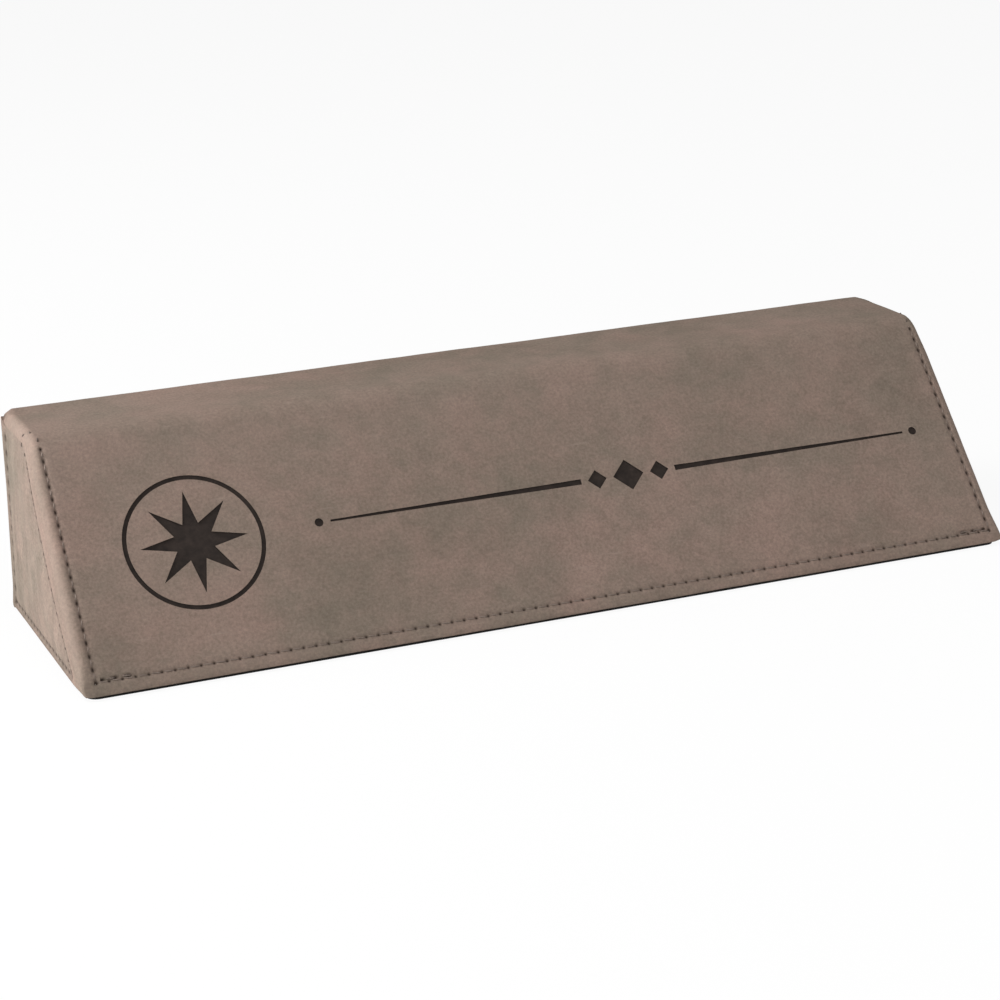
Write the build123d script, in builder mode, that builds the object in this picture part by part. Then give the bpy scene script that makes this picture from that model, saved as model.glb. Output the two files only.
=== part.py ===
from build123d import *
import math
import os

# Desk name plate: a hollow greyboard wedge wrapped in stitched leatherette, on a thin black pad.
# Millimetres. +X runs along the length, the slope faces -Y, +Z is up, origin at the centre of the base.

# Overall form of the wrapped wedge, standing on its pad
length = 267.0
depth = 79.0
height = 57.0
slope_angle = 49.5
end_lean = 1.4

# Boards, cover and pad
board_thickness = 2.5
board_edge_radius = 1.5
board_crest_radius = 7.0
cover_thickness = 1.0
hem_radius = 0.8
hem_width = 14.0
pad_thickness = 0.8
pad_margin = 1.0
pad_end_margin = 1.5
pad_corner_radius = 3.0

# End covers, let into the rims that the main cover turns onto the ends
rim_width = 6.0
rim_bow = 3.5
rear_margin = 2.8
base_margin = 1.4
top_margin = 3.5
end_corner_radius = 1.5
lap_width = 4.0
seam_gap = 0.15

# Stitching, sunk in a groove
stitch_pitch = 3.4
stitch_length = 2.7
thread_width = 0.6
thread_height = 0.5
thread_round = 0.2
groove_depth = 0.3
groove_clearance = 0.1
side_row_margin = 3.2
base_row_margin = 4.6
end_row_margin = 1.2
tack_offset = 1.0
tack_start = 1.6
tack_length = 12.0

# Generic engraved ornament on the slope: a star in a ring, and a divider of lozenges, rules and dots
engrave_depth = 0.2
emblem_inset = 37.0
emblem_rise = 38.0
emblem_radius = 19.0
emblem_line = 1.2
star_radius = 14.5
star_waist_radius = 5.5
star_points = 8
divider_rise = 38.0
divider_gap = 14.0
lozenge_side = 6.5
side_lozenge_side = 4.0
lozenge_gap = 2.0
rule_width = 1.6
rule_tip_width = 0.6
dot_radius = 1.2

# Worked out from the sizes above
slope = math.radians(slope_angle)
wedge_height = height - pad_thickness
slope_length = wedge_height / math.sin(slope)
toe_y = -depth / 2 - hem_radius * (1 / math.tan(slope / 2) - 1)
rear_y = depth / 2
crest_radius = board_crest_radius + cover_thickness
crest_run = crest_radius * math.tan(slope / 2)
board_inset = cover_thickness
void_inset = cover_thickness + board_thickness
lean = math.atan(end_lean / wedge_height)
groove_width = thread_width + 2 * groove_clearance

# Planes of the outer faces; on both ends local x runs to the rear and local y runs up
slope_face = Plane(
    origin=(0, toe_y, pad_thickness),
    x_dir=(1, 0, 0),
    z_dir=(0, -math.sin(slope), math.cos(slope)),
)
left_face = Plane(
    origin=(-length / 2, 0, pad_thickness),
    x_dir=(0, 1, 0),
    z_dir=(math.cos(lean), 0, -math.sin(lean)),
)
right_face = Plane(
    origin=(length / 2, 0, pad_thickness),
    x_dir=(0, 1, 0),
    z_dir=(math.cos(lean), 0, math.sin(lean)),
)
# Each end with the sign of its inward direction along its plane's normal
ends = {"left_end": (left_face, 1), "right_end": (right_face, -1)}


def section_corners(inset):
    """Toe, heel, rear top and crest of the cross-section (y, z), moved in from the outer faces."""
    low = pad_thickness + inset
    high = height - inset
    rear = rear_y - inset
    sloped_shift = toe_y + inset / math.sin(slope)
    toe = (sloped_shift + inset / math.tan(slope), low)
    crest = (sloped_shift + (wedge_height - inset) / math.tan(slope), high)
    return [toe, (rear, low), (rear, high), crest]


def cut_ends(inset):
    """Split the part in progress at both end planes, moved in by inset."""
    for face, inward in ends.values():
        inner_side = Keep.TOP if inward > 0 else Keep.BOTTOM
        split(bisect_by=face.offset(inward * inset), keep=inner_side)


def rounded_wedge(inset, crest_round, edge_round):
    """The wedge moved in by inset, rounded along its crest, rear top edge and upright end edges."""
    with BuildPart() as wedge:
        with BuildSketch(Plane.YZ) as section:
            with BuildLine():
                Polyline(*section_corners(inset), close=True)
            make_face()
            fillet(section.vertices().group_by(Axis.Y)[-1].sort_by(Axis.X)[0], radius=crest_round)
        extrude(amount=length / 2, both=True)
        cut_ends(inset)
        end_faces = wedge.faces().sort_by(Axis.X)
        rims = end_faces[0].edges().sort_by(Axis.Z)[1:] + end_faces[-1].edges().sort_by(Axis.Z)[1:]
        rear_top = wedge.edges().filter_by(Axis.X).group_by(Axis.Z)[-1].sort_by(Axis.Y)[-1]
        fillet(rims + [rear_top], radius=edge_round)
    return wedge.part


def end_outline():
    """Outline of an end cover: straight at the base, rear and top, bowed along the rim."""
    low = base_margin
    high = wedge_height - top_margin
    rim_y = toe_y + rim_width / math.sin(slope)
    foot = Vector(rim_y + low / math.tan(slope), low)
    head = Vector(rim_y + high / math.tan(slope), high)
    middle = (foot + head) / 2 + Vector(math.sin(slope), -math.cos(slope)) * rim_bow
    rear = rear_y - rear_margin
    with BuildSketch() as outline:
        with BuildLine():
            Polyline(foot, (rear, low), (rear, high), head)
            ThreePointArc(head, middle, foot)
        make_face()
        fillet(outline.vertices(), radius=end_corner_radius)
    return outline.sketch


def grown(outline, amount):
    """A flat outline grown, or shrunk where the amount is negative."""
    with BuildSketch() as result:
        add(outline)
        offset(amount=amount, kind=Kind.INTERSECTION, mode=Mode.REPLACE)
    return result.sketch


def groove_outlines(paths):
    """Flat strips along the paths, as wide as a stitch groove."""
    with BuildSketch() as grooves:
        for path in paths:
            trace(path, line_width=groove_width)
    return grooves.sketch


def stitch_rows(face, outward, paths):
    """Separate thread segments lying on the floor of the grooves along the paths."""
    with BuildPart() as rows:
        with BuildSketch(face.offset(-outward * groove_depth)):
            for path in paths:
                count = round(path.length / stitch_pitch)
                for index in range(count):
                    share = (index + 1 / 2) / count
                    heading = path % share
                    turn = math.degrees(math.atan2(heading.Y, heading.X))
                    with Locations(Location(path @ share, (0, 0, turn))):
                        SlotOverall(stitch_length, thread_width)
        extrude(amount=outward * thread_height)
        tops = rows.faces().filter_by(lambda side: side.normal_at().dot(face.z_dir) * outward > 1 / 2)
        fillet(tops.edges(), radius=thread_round)
    return rows.part


# Paths of the rows on the slope, in the slope's own plane
row_low = base_row_margin
row_high = slope_length - crest_run
side_low = length / 2 - side_row_margin - end_lean * row_low / slope_length
side_high = length / 2 - side_row_margin - end_lean * row_high / slope_length
tack_rise = row_low + tack_offset
front_rows = {
    "front_left_stitching": [Line((-side_low, row_low), (-side_high, row_high))],
    "front_right_stitching": [Line((side_low, row_low), (side_high, row_high))],
    "front_bottom_stitching": [Line((-side_low, row_low), (side_low, row_low))],
}
for side in (-1, 1):
    inner_end = side * (side_low - tack_start - tack_length)
    outer_end = side * (side_low - tack_start)
    front_rows["front_bottom_stitching"].append(Line((inner_end, tack_rise), (outer_end, tack_rise)))

# Outlines on the ends, and the paths of the rows that follow an end cover's edge
panel_outline = end_outline()
row_guide = grown(panel_outline, -end_row_margin).edges()
end_rows = {
    "base_stitching": row_guide.sort_by(Axis.Y)[0],
    "rear_stitching": row_guide.filter_by(GeomType.LINE).sort_by(Axis.X)[-1],
    "front_stitching": row_guide.filter_by(GeomType.CIRCLE).sort_by(SortBy.LENGTH)[-1],
}

# Engraved ornament, in the slope's own plane; the divider runs from the emblem to the right end
emblem_x = -length / 2 + emblem_inset
divider_left = emblem_x + emblem_radius + divider_gap
divider_right = length / 2 - divider_gap
divider_x = (divider_left + divider_right) / 2
side_lozenge_x = (lozenge_side + side_lozenge_side) / math.sqrt(2) + lozenge_gap
rule_start = side_lozenge_x + side_lozenge_side / math.sqrt(2) + lozenge_gap
dot_x = (divider_right - divider_left) / 2 - dot_radius
rule_end = dot_x - dot_radius - lozenge_gap
star_corners = []
for index in range(2 * star_points):
    corner_radius = star_waist_radius if index % 2 else star_radius
    star_corners.append(Vector(0, corner_radius).rotate(Axis.Z, 180 * index / star_points))
with BuildSketch() as ornament:
    with Locations((emblem_x, emblem_rise)):
        Circle(emblem_radius)
        Circle(emblem_radius - emblem_line, mode=Mode.SUBTRACT)
        Polygon(*star_corners, align=None)
    with Locations((divider_x, divider_rise)):
        Rectangle(lozenge_side, lozenge_side, rotation=45)
        for side in (-1, 1):
            rule_corners = [
                (side * rule_start, rule_width / 2),
                (side * rule_end, rule_tip_width / 2),
                (side * rule_end, -rule_tip_width / 2),
                (side * rule_start, -rule_width / 2),
            ]
            Polygon(*rule_corners, align=None)
            with Locations((side * side_lozenge_x, 0)):
                Rectangle(side_lozenge_side, side_lozenge_side, rotation=45)
            with Locations((side * dot_x, 0)):
                Circle(dot_radius)

os.makedirs("parts", exist_ok=True)

# Solids that the covers and boards are cut from
board_body = rounded_wedge(board_inset, board_crest_radius, board_edge_radius)
wrapped_body = rounded_wedge(0, crest_radius, board_edge_radius + cover_thickness)
with BuildPart() as void_body:
    with BuildSketch(Plane.YZ):
        with BuildLine():
            Polyline(*section_corners(void_inset), close=True)
        make_face()
    extrude(amount=length / 2, both=True)
    cut_ends(void_inset)

# Main cover: one sheet round slope, top, back and base, turned onto the ends
with BuildPart() as main_cover:
    add(wrapped_body)
    fillet(main_cover.faces().sort_by(Axis.Z)[0].edges(), radius=hem_radius)
    add(board_body, mode=Mode.SUBTRACT)
    with BuildSketch(Plane.XY.offset(pad_thickness)):
        Rectangle(length - 2 * hem_width, depth - 2 * hem_width)
    extrude(amount=cover_thickness, mode=Mode.SUBTRACT)
    for face, inward in ends.values():
        with BuildSketch(face):
            add(grown(panel_outline, seam_gap))
        extrude(amount=inward * cover_thickness / 2, mode=Mode.SUBTRACT)
        with BuildSketch(face):
            add(grown(panel_outline, seam_gap - lap_width))
        extrude(amount=inward * cover_thickness, mode=Mode.SUBTRACT)
    for paths in front_rows.values():
        with BuildSketch(slope_face):
            add(groove_outlines(paths))
        extrude(amount=-groove_depth, mode=Mode.SUBTRACT)
    with BuildSketch(slope_face):
        add(ornament.sketch)
    extrude(amount=-engrave_depth, mode=Mode.SUBTRACT)
main_cover.part.label = "main_cover"
export_step(main_cover.part, "parts/main_cover.step")

# Rows of stitches on the slope
for name, paths in front_rows.items():
    with BuildPart() as front_row:
        add(stitch_rows(slope_face, 1, paths))
    front_row.part.label = name
    export_step(front_row.part, f"parts/{name}.step")

# Ends: a cover lapped over the main cover's rim, its three rows of stitches, and the board behind
for end, (face, inward) in ends.items():
    with BuildPart() as end_cover:
        with BuildSketch(face):
            add(panel_outline)
        extrude(amount=inward * cover_thickness / 2)
        with BuildSketch(face):
            add(grown(panel_outline, -lap_width))
        extrude(amount=inward * cover_thickness)
        with BuildSketch(face):
            add(groove_outlines(end_rows.values()))
        extrude(amount=inward * groove_depth, mode=Mode.SUBTRACT)
    end_cover.part.label = f"{end}_cover"
    export_step(end_cover.part, f"parts/{end}_cover.step")

    for name, path in end_rows.items():
        with BuildPart() as end_row:
            add(stitch_rows(face, -inward, [path]))
        end_row.part.label = f"{end}_{name}"
        export_step(end_row.part, f"parts/{end}_{name}.step")

    with BuildPart() as end_board:
        add(board_body)
        outer_side = Keep.BOTTOM if inward > 0 else Keep.TOP
        split(bisect_by=face.offset(inward * void_inset), keep=outer_side)
    end_board.part.label = f"{end}_board"
    export_step(end_board.part, f"parts/{end}_board.step")

# Long boards: the wall between the end boards, mitred at its four corners
with BuildPart() as board_wall:
    add(board_body)
    add(void_body.part, mode=Mode.SUBTRACT)
    cut_ends(void_inset)

mitres = []
for outer, inner in zip(section_corners(board_inset), section_corners(void_inset)):
    ahead = (0, inner[1] - outer[1], outer[0] - inner[0])
    mitres.append(Plane(origin=(0, outer[0], outer[1]), x_dir=(1, 0, 0), z_dir=ahead))

for index, name in enumerate(["base_board", "back_board", "top_board", "front_board"]):
    with BuildPart() as long_board:
        add(board_wall.part)
        split(bisect_by=mitres[index], keep=Keep.TOP)
        split(bisect_by=mitres[(index + 1) % len(mitres)], keep=Keep.BOTTOM)
    long_board.part.label = name
    export_step(long_board.part, f"parts/{name}.step")

# Base pad: the thin black sheet that the plate stands on
with BuildPart() as base_pad:
    with BuildSketch(Plane.XY):
        RectangleRounded(length - 2 * pad_end_margin, depth - 2 * pad_margin, pad_corner_radius)
    extrude(amount=pad_thickness)
base_pad.part.label = "base_pad"
export_step(base_pad.part, "parts/base_pad.step")
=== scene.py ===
import math

import bmesh
import bpy
from mathutils import Matrix, Vector, noise


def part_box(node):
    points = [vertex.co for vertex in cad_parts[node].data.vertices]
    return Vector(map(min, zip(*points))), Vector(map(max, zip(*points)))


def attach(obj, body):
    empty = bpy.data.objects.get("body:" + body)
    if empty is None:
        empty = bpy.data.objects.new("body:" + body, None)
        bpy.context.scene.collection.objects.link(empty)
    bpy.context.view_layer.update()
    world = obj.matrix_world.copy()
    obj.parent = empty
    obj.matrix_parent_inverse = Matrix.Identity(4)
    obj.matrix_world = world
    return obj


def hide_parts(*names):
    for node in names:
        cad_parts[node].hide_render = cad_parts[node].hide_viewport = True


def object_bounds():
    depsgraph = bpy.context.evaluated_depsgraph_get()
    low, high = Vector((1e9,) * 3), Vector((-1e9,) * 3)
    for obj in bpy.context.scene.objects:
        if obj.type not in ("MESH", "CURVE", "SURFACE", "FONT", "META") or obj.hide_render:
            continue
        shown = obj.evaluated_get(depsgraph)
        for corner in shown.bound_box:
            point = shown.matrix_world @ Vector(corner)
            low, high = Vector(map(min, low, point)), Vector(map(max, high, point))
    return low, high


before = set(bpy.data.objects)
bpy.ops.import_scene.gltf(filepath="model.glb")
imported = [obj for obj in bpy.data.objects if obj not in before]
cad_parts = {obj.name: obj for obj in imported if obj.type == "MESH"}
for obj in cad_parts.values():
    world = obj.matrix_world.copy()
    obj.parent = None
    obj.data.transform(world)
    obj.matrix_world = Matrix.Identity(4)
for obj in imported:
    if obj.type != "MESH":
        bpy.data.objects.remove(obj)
cad_low, cad_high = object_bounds()

# Wedge: sizes in metres, with its box taken from the frame's main cover
cover_low, cover_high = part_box("main_cover")
half_length = cover_high.x
rear_y = cover_high.y
base_z = cover_low.z
top_z = cover_high.z
slope = math.radians(49.5)
end_lean = 0.0014
crest_radius = 0.008
hem_radius = 0.0008
rear_radius = 0.0015
cover_thickness = 0.001
hem_width = 0.014
wedge_height = top_z - base_z
slope_length = wedge_height / math.sin(slope)
toe_y = cover_low.y - hem_radius * (1 / math.tan(slope / 2) - 1)
crest_run = crest_radius * math.tan(slope / 2)
toe = Vector((0, toe_y, base_z))
up_slope = Vector((0, math.cos(slope), math.sin(slope)))
slope_normal = Vector((0, -math.sin(slope), math.cos(slope)))

# Rolled rim between the slope and the ends, and the rounded front corners
rim_reach = 0.0024
rim_fall = 0.004
edge_reach = 0.0008
edge_fall = 0.0006
rim_start = 0.0012
rim_growth = 0.008
roll_height = 0.0006
roll_run = 0.0025
roll_start_low = 0.001
roll_start_high = 0.003
roll_fade = 0.008
front_corner_round = 0.0016
rear_corner_round = 0.0032
rear_draw = Vector((0, -0.35, -1)).normalized()
corner_fade = 0.008
# Painted shade in the tucks at the rear corners of the ends
tuck_reach = 0.002
tuck_width = 0.0022
painted_tuck_shade = 0.9

# Wear along the rims, a painted highlight along the crest, and slight unevenness of the leatherette; rates
# are per metre
rim_wear = 0.3
rim_wear_spread = 0.5
# Painted highlight along the crest, patchy along its length
crest_painted_highlight = 0.22
crest_highlight_width = 0.018
crest_highlight_shares = {"even": 0.6, "patchy": 0.4}
crest_patch_rate = 20
surface_waves = ((0.0001, 38), (0.00005, 130))

# Stitch rows on the slope
stitch_pitch = 0.0034
side_stitch_pitch = 0.00366
row_margins_low = {-1: 0.0038, 1: 0.0031}
row_margins_high = {-1: 0.0027, 1: 0.0031}
left_row_x = -half_length + row_margins_low[-1]
right_row_x = half_length - row_margins_low[1]
row_low = 0.0043
row_high = slope_length - crest_run
side_count = round((row_high - row_low) / side_stitch_pitch)
side_pitch = (row_high - row_low) / side_count
bottom_count = round((right_row_x - left_row_x) / stitch_pitch)
bottom_pitch = (right_row_x - left_row_x) / bottom_count
tack_offset = 0.0007
tack_start = 0.0016
tack_length = 0.0085
groove_depth = 0.00014
groove_width = 0.0006
shoulder_height = 0.00008
shoulder_offset = 0.0014
needle_depth = 0.00045
needle_width = 0.00038
bottom_needle_length = 0.00042
side_needle_length = 0.0008
row_overrun = 0.0005
row_reach = 0.004
# Painted shade along the groove of each row
painted_groove_shade = 0.06

# End panels, set into the ends with a thin seam
rim_width = 0.006
rim_bow = 0.0035
rear_margin = 0.0009
base_margin = 0.0007
top_margin = 0.0035
panel_corner = 0.0018
ear_width = 0.0017
ear_pulls = {"base": Vector((0, 0.0005, -0.0005)), "top": Vector((0, 0.0006, 0.0026))}
strip_lift = 0.0004
strip_lift_low = 0.006
strip_lift_share = 0.4
tip_width = 0.0011
panel_depth = 0.0005
panel_edge = 0.0002
panel_edge_drop = 0.00006
panel_cell = 0.00085
panel_swell = 0.0004
panel_hold = 0.0028
panel_crease = 0.00025
crease_rates = (110, 25)
panel_rings = (0.00065, 0.0002, 0.00015, 0.00015, 0.00025)
seam_gap = 0.00003
end_row_margins = {"base": 0.0017, "rear": 0.0026, "front": 0.0012}
end_row_tops = {"rear": -0.0004, "front": 0.0042}
end_row_pitches = {"base": 0.0036, "rear": 0.0041, "front": 0.0034}
end_row_reach = 0.002
end_row_overrun_share = 0.01
# Strength of the painted shade in each end row's holes, at its start and at its end
end_row_darkness = {"base": (1.0, 1.0), "rear": (1.0, 1.0), "front": (0.4, 0.95)}
end_needle_length = 0.001
end_needle_depth = needle_depth / 2
end_needle_widths = {"base": 0.0006, "rear": 0.0008, "front": 0.0004}
# Painted shade in the end rows' grooves and on the panels' strips outside the rows
end_painted_groove_shade = 0.1
painted_strip_shade = 0.1
panel_low = base_z + base_margin
panel_high = top_z - top_margin
panel_rear = rear_y - rear_margin
rear_strip = panel_rear - end_row_margins["rear"]
panel_tips = {"base": Vector((0, panel_rear, panel_low)), "top": Vector((0, panel_rear, panel_high))}
rim_y = toe_y + rim_width / math.sin(slope)
panel_foot = Vector((0, rim_y + (panel_low - base_z) / math.tan(slope), panel_low))
panel_head = Vector((0, rim_y + (panel_high - base_z) / math.tan(slope), panel_high))
rim_chord = (panel_head - panel_foot).length
arc_radius = (rim_chord ** 2 / 4 + rim_bow ** 2) / (2 * rim_bow)
arc_centre = (panel_foot + panel_head) / 2 + slope_normal * (arc_radius - rim_bow)
bow_turn = 2 * math.atan(2 * rim_bow / rim_chord)

# Thread of two plies, and the stitches of each kind of row
thread_width = 0.0006
curl_thread_width = 0.0009
thread_sides = 6
thread_steps = 8
strand_share = 0.28
ply_offset_share = 0.8
dive_share = 1.3
taper_share = 0.35
# Painted shade where the thread dives into its holes
painted_hole_shade = 0.9
stitch_length_shares = {"bottom": 0.86, "side": 0.62, "curl": 0.66, "end": 0.55}
stitch_dives = {"bottom": 5, "side": 4, "curl": 3, "end": 3}
# How much each kind of stitch is darkened overall
stitch_darkenings = {"bottom": 0.0, "side": 0.0, "curl": 0.5, "end": 0.15}
thread_sink = 0.00018
end_thread_sinks = {"base": 0.00028, "rear": 0.00028, "front": thread_sink}
curl_count = 5
curl_reach = 0.0082
curl_rise = 0.0113
curl_turn = math.radians(152)
curl_sink = 0.00018

# Engraved ornament on the slope
engrave_depth = 0.0004
emblem_inset = 0.037
ornament_rise = 0.038
emblem_radius = 0.019
emblem_line = 0.0012
star_radius = 0.0145
star_waist = 0.0055
star_points = 8
divider_gap = 0.014
lozenge_side = 0.0065
side_lozenge_side = 0.004
lozenge_gap = 0.002
rule_width = 0.0016
rule_tip_width = 0.0006
dot_radius = 0.0012
ring_steps = 96
dot_steps = 24
overrun = 0.002

# Mesh divisions, tolerances and the angles in degrees that stay sharp
half_stitch_cells = 7
strip_cells_below = 4
strip_cells_above = 7
plain_cell = 0.003
toe_steps = 5
rear_base_steps = 3
rear_top_steps = 4
crest_steps = 12
rim_steps = 8
row_strip = 0.0016
row_strip_columns = 8
corner_columns = 3
strip_below = 0.0009
strip_above = 0.0016
strip_cuts = 5
end_facing = 0.9
end_corners = 8
roll_cell = 0.001
roll_cells = 9
end_cell = 0.004
end_cells = 18
hollow_crest_steps = 10
hollow_round = 0.0015
hollow_round_steps = 3
bow_cuts = 7
panel_corner_steps = 8
surface_slack = 1e-5
point_slack = 1e-6
cut_slack = 1e-7
cover_sharp_angle = 38
panel_sharp_angle = 50
thread_sharp_angle = 60


def smooth_share(value, start, end):
    """0 before start, 1 after end, eased between them."""
    share = min(1, max(0, (value - start) / (end - start)))
    return share * share * (3 - 2 * share)


def hump(distance, width):
    """1 at no distance, falling away over the width."""
    return math.exp(-((distance / width) ** 2))


def lean_in(point):
    """The ends lean in towards the top: the straight wedge's point, drawn in with its height."""
    share = (point.z - base_z) / wedge_height
    return Vector((point.x * (1 - end_lean / half_length * share), point.y, point.z))


def tuck_shade(point):
    """Painted shade in the tucks at an end's two rear corners."""
    gaps = [math.hypot(point.y - rear_y, point.z - corner_z) for corner_z in (base_z, top_z)]
    return painted_tuck_shade * hump(min(gaps), tuck_width)


def on_slope(x, rise):
    """Point of the straight wedge's slope."""
    return toe + Vector((x, 0, 0)) + up_slope * rise


def slope_rise(point):
    """How far up the slope a point lies."""
    return (point - toe).dot(up_slope)


def on_front(point):
    """Whether a point lies on the flat of the slope."""
    return abs((point - toe).dot(slope_normal)) < surface_slack


# Materials


# Deep brown of the painted shade in needle holes, grooves, tucks and strips, and of the darkened thread
painted_shade_and_darkening_brown = (0.024, 0.016, 0.013)


def start_material(name):
    """A new node material: its tree, its surface shader and its Object coordinates."""
    material = bpy.data.materials.new(name)
    material.use_nodes = True
    tree = material.node_tree
    shader = tree.nodes["Principled BSDF"]
    place = tree.nodes.new("ShaderNodeTexCoord").outputs["Object"]
    return material, tree, shader, place


def noise_at(tree, place, scale, detail=2.0, roughness=0.5, distortion=0.0):
    """Noise strength at a place, at a scale per metre."""
    texture = tree.nodes.new("ShaderNodeTexNoise")
    tree.links.new(place, texture.inputs["Vector"])
    texture.inputs["Scale"].default_value = scale
    texture.inputs["Detail"].default_value = detail
    texture.inputs["Roughness"].default_value = roughness
    texture.inputs["Distortion"].default_value = distortion
    return texture.outputs["Fac"]


def stretched(tree, place, scale, turn):
    """The place, scaled and turned for a pattern with a direction."""
    mapping = tree.nodes.new("ShaderNodeMapping")
    tree.links.new(place, mapping.inputs["Vector"])
    mapping.inputs["Scale"].default_value = scale
    mapping.inputs["Rotation"].default_value = turn
    return mapping.outputs["Vector"]


def ramp(tree, strength, stops):
    """Colours along a strength; stops are (position, colour)."""
    node = tree.nodes.new("ShaderNodeValToRGB")
    tree.links.new(strength, node.inputs["Fac"])
    elements = node.color_ramp.elements
    while len(elements) < len(stops):
        elements.new(1.0)
    for element, (position, colour) in zip(elements, stops):
        element.position = position
        element.color = (*colour, 1.0)
    return node.outputs["Color"]


def grey_ramp(tree, strength, low, high, dark=0.0, light=1.0):
    """A strength spread out between two positions of the noise."""
    return ramp(tree, strength, [(low, (dark,) * 3), (high, (light,) * 3)])


def mixed(tree, first, second, share, blend="MIX"):
    """Two colours mixed; each input is a socket, a colour or a number."""
    node = tree.nodes.new("ShaderNodeMix")
    node.data_type = "RGBA"
    node.blend_type = blend
    # A colour mix takes its share at input 0 and its colours at 6 and 7, and gives its result at output 2
    for socket, value in ((node.inputs[0], share), (node.inputs[6], first), (node.inputs[7], second)):
        if isinstance(value, bpy.types.NodeSocket):
            tree.links.new(value, socket)
        elif isinstance(value, tuple):
            socket.default_value = (*value, 1.0)
        else:
            socket.default_value = value
    return node.outputs[2]


def summed(tree, terms):
    """Weighted sum of strengths; terms are (socket, weight)."""
    total = None
    for socket, weight in terms:
        node = tree.nodes.new("ShaderNodeMath")
        node.operation = "MULTIPLY_ADD"
        tree.links.new(socket, node.inputs[0])
        node.inputs[1].default_value = weight
        node.inputs[2].default_value = 0.0
        if total is not None:
            tree.links.new(total, node.inputs[2])
        total = node.outputs[0]
    return total


def attribute(tree, name):
    """A strength painted on the mesh's own vertices."""
    node = tree.nodes.new("ShaderNodeAttribute")
    node.attribute_name = name
    return node.outputs["Fac"]


def add_bump(tree, shader, layers):
    """Bumps from fine to broad; layers are (height socket, strength, distance)."""
    under = None
    for height, strength, distance in layers:
        node = tree.nodes.new("ShaderNodeBump")
        tree.links.new(height, node.inputs["Height"])
        node.inputs["Strength"].default_value = strength
        node.inputs["Distance"].default_value = distance
        if under is not None:
            tree.links.new(under, node.inputs["Normal"])
        under = node.outputs["Normal"]
    tree.links.new(under, shader.inputs["Normal"])


def leatherette_material():
    """Brushed grey-brown leatherette: cloudy colour, fine nap, pale scuffs, wear with a painted highlight
    along the crest, and painted shade in needle holes, grooves, rear tucks and end strips.
    """
    material, tree, shader, place = start_material("brushed_leatherette")
    clouds = noise_at(tree, place, 22, detail=3, roughness=0.55)
    mottle = noise_at(tree, place, 170, detail=6, roughness=0.66, distortion=0.5)
    nap = noise_at(tree, place, 1300, detail=3, roughness=0.65)
    tone = summed(tree, [(clouds, 0.58), (mottle, 0.42)])
    colour = ramp(
        tree,
        tone,
        [
            (0.355, (0.199, 0.156, 0.123)),
            (0.50, (0.244, 0.183, 0.148)),
            (0.645, (0.289, 0.210, 0.173)),
        ],
    )
    tint = noise_at(tree, place, 45, detail=4, roughness=0.6)
    warmth = ramp(tree, tint, [(0.36, (0.971, 1.006, 1.0)), (0.64, (1.027, 0.994, 0.995))])
    colour = mixed(tree, colour, warmth, 1.0, "MULTIPLY")
    speck = grey_ramp(tree, nap, 0.3, 0.7, dark=0.82, light=1.16)
    colour = mixed(tree, colour, speck, 1.0, "MULTIPLY")
    along = stretched(tree, place, (1.0, 9.0, 9.0), (0.3, 0.2, 0.5))
    scuffs = grey_ramp(tree, noise_at(tree, along, 90, detail=4, roughness=0.7), 0.62, 0.74, light=0.35)
    colour = mixed(tree, colour, (0.36, 0.285, 0.238), scuffs)
    ridges = noise_at(tree, place, 85, detail=4, roughness=0.6, distortion=0.8)
    creases = ramp(tree, ridges, [(0.455, (1.0,) * 3), (0.5, (0.91,) * 3), (0.545, (1.0,) * 3)])
    patches = grey_ramp(tree, noise_at(tree, place, 16), 0.45, 0.62)
    colour = mixed(tree, colour, mixed(tree, colour, creases, 1.0, "MULTIPLY"), patches)
    upright = stretched(tree, place, (1.0, 4.5, 1.0), (0.0, 0.0, 0.0))
    streaks = noise_at(tree, upright, 45, detail=5, roughness=0.65)
    on_ends = attribute(tree, "streak")
    streak_tone = ramp(tree, streaks, [(0.32, (0.80, 0.84, 0.84)), (0.68, (1.075, 1.12, 1.125))])
    streaked = mixed(tree, colour, streak_tone, 1.0, "MULTIPLY")
    colour = mixed(tree, colour, streaked, on_ends)
    # Lighter where the rims are worn, and a painted highlight along the crest
    colour = mixed(tree, colour, (0.34, 0.27, 0.225), attribute(tree, "wear_and_painted_highlight"))
    # Painted shade in needle holes, grooves, rear tucks and end strips
    colour = mixed(tree, colour, painted_shade_and_darkening_brown, attribute(tree, "painted_shade_and_darkening"))
    tree.links.new(colour, shader.inputs["Base Color"])
    tree.links.new(grey_ramp(tree, mottle, 0.3, 0.7, dark=0.78, light=0.92), shader.inputs["Roughness"])
    shader.inputs["Specular IOR Level"].default_value = 0.12
    folds = mixed(tree, (0.5, 0.5, 0.5), streaks, on_ends)
    add_bump(tree, shader, [(nap, 0.25, 0.0002), (mottle, 0.3, 0.0004), (folds, 0.3, 0.001)])
    return material


def engraved_material():
    """Burnt floor of the engraving: near-black brown with the fine raster of the burning."""
    material, tree, shader, place = start_material("engraved_leatherette")
    raster = tree.nodes.new("ShaderNodeTexWave")
    tree.links.new(place, raster.inputs["Vector"])
    raster.bands_direction = "Z"
    raster.inputs["Scale"].default_value = 900
    raster.inputs["Distortion"].default_value = 0.6
    ash = noise_at(tree, place, 420, detail=4, roughness=0.6)
    colour = ramp(tree, ash, [(0.3, (0.020, 0.0145, 0.0122)), (0.72, (0.045, 0.0335, 0.0285))])
    tree.links.new(colour, shader.inputs["Base Color"])
    tree.links.new(grey_ramp(tree, ash, 0.3, 0.7, dark=0.75, light=0.95), shader.inputs["Roughness"])
    shader.inputs["Specular IOR Level"].default_value = 0.2
    add_bump(tree, shader, [(raster.outputs["Fac"], 0.2, 0.00005), (ash, 0.4, 0.0001)])
    return material


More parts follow.
